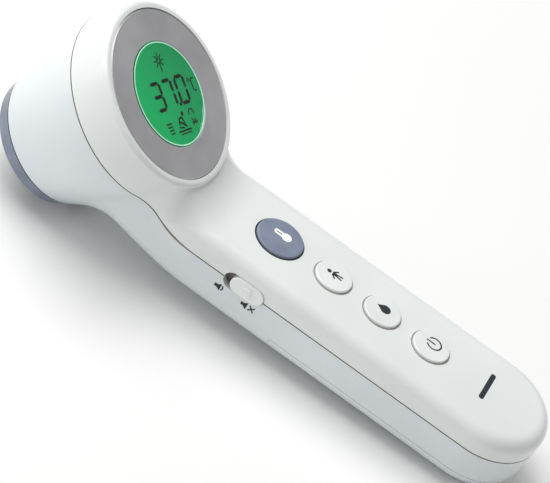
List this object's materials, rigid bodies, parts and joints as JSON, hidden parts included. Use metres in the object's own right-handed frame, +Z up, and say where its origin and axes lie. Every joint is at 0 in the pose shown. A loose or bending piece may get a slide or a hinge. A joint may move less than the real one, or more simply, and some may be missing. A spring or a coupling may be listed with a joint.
{
  "type": "digital forehead thermometer",
  "caption": "Hand-held no-touch infrared thermometer: round tilted display head with a sensor on its far side, straight handle with push buttons, side mute slide and sliding battery door.",
  "frame": {"origin": "centre of the bounding box at the floor, with the thermometer lying on its back on the sensor ring and the end of the handle", "axes": "+Y along the handle towards the head, +Z up out of the button side, +X to the right hand of a user looking at the buttons"},
  "size_m": [0.0534, 0.1724, 0.0612],
  "materials": {
    "shell_white": "moulded ABS, polished gloss white",
    "slate_plastic": "moulded ABS, satin blue-grey",
    "bezel_grey": "satin metallic-grey lacquered plastic",
    "clear_lens": "polished clear acrylic",
    "lcd": "backlit green liquid crystal cell",
    "light_guide": "frosted acrylic",
    "inner_white": "moulded, as from the tool",
    "black_plastic": "moulded, fine matt",
    "conductive_rubber": "striped silicone",
    "foam": "closed-cell foam",
    "board_green": "solder-masked glass epoxy",
    "flex_amber": "polyimide film",
    "led_resin": "cast clear resin",
    "dark_resin": "infrared-passing resin",
    "nickel": "nickel-plated steel",
    "holder_metal": "turned",
    "silicon_window": "polished, coated silicon",
    "screw_steel": "zinc plated",
    "cell_wrap": "printed metal-foil wrap"
  },
  "bodies": {
    "casing": {"backlight_leds": "led_resin", "battery_left": "cell_wrap", "battery_right": "cell_wrap", "battery_tray": "inner_white", "board_chips": "black_plastic", "board_screws": "screw_steel", "buzzer": "black_plastic", "case_screws": "screw_steel", "contact_bridge": "nickel", "contact_plates": "nickel", "contact_springs": "nickel", "display_bezel": "bezel_grey", "display_board": "board_green", "display_driver": "black_plastic", "display_frame": "inner_white", "display_lens": "clear_lens", "display_ribbon": "flex_amber", "elastomer_strip": "conductive_rubber", "front_shell": "shell_white", "guide_light": "led_resin", "ir_window": "silicon_window", "lcd_glass": "lcd", "light_guide": "light_guide", "main_board": "board_green", "microcontroller": "black_plastic", "proximity_sensors": "dark_resin", "rear_shell": "shell_white", "sensor_board": "board_green", "sensor_cone": "nickel", "sensor_faceplate": "black_plastic", "sensor_holder": "holder_metal", "sensor_ribbon": "flex_amber", "sensor_ring": "slate_plastic", "slide_switch": "black_plastic", "tact_switches": "black_plastic", "thermopile": "nickel"},
    "main_button_key": {"main_button": "slate_plastic", "main_plunger": "black_plastic"},
    "person_button_key": {"person_button": "shell_white", "person_plunger": "black_plastic"},
    "mode_button_key": {"mode_button": "shell_white", "mode_plunger": "black_plastic"},
    "power_button_key": {"power_button": "shell_white", "power_plunger": "black_plastic"},
    "mute_slider": {"mute_knob": "shell_white", "switch_lever": "black_plastic"},
    "door": {"battery_door": "shell_white", "door_foam": "foam"}
  },
  "joints": [
    {"name": "main_button_press", "type": "slide", "parent": "casing", "child": "main_button_key", "axis": [0, 0.0515, -0.9987], "range_m": [0, 0.0004], "stiffness_N_per_m": 2500, "springref_m": -0.0003},
    {"name": "person_button_press", "type": "slide", "parent": "casing", "child": "person_button_key", "axis": [0, 0.0515, -0.9987], "range_m": [0, 0.0004], "stiffness_N_per_m": 2500, "springref_m": -0.0003},
    {"name": "mode_button_press", "type": "slide", "parent": "casing", "child": "mode_button_key", "axis": [0, 0.0515, -0.9987], "range_m": [0, 0.0004], "stiffness_N_per_m": 2500, "springref_m": -0.0003},
    {"name": "power_button_press", "type": "slide", "parent": "casing", "child": "power_button_key", "axis": [0, 0.0515, -0.9987], "range_m": [0, 0.0004], "stiffness_N_per_m": 2500, "springref_m": -0.0003},
    {"name": "mute_slide", "type": "slide", "parent": "casing", "child": "mute_slider", "axis": [0, 0.9987, 0.0515], "range_m": [0, 0.002]},
    {"name": "door_slide", "type": "slide", "parent": "casing", "child": "door", "axis": [0, -0.9987, -0.0515], "range_m": [0, 0.072]}
  ]
}
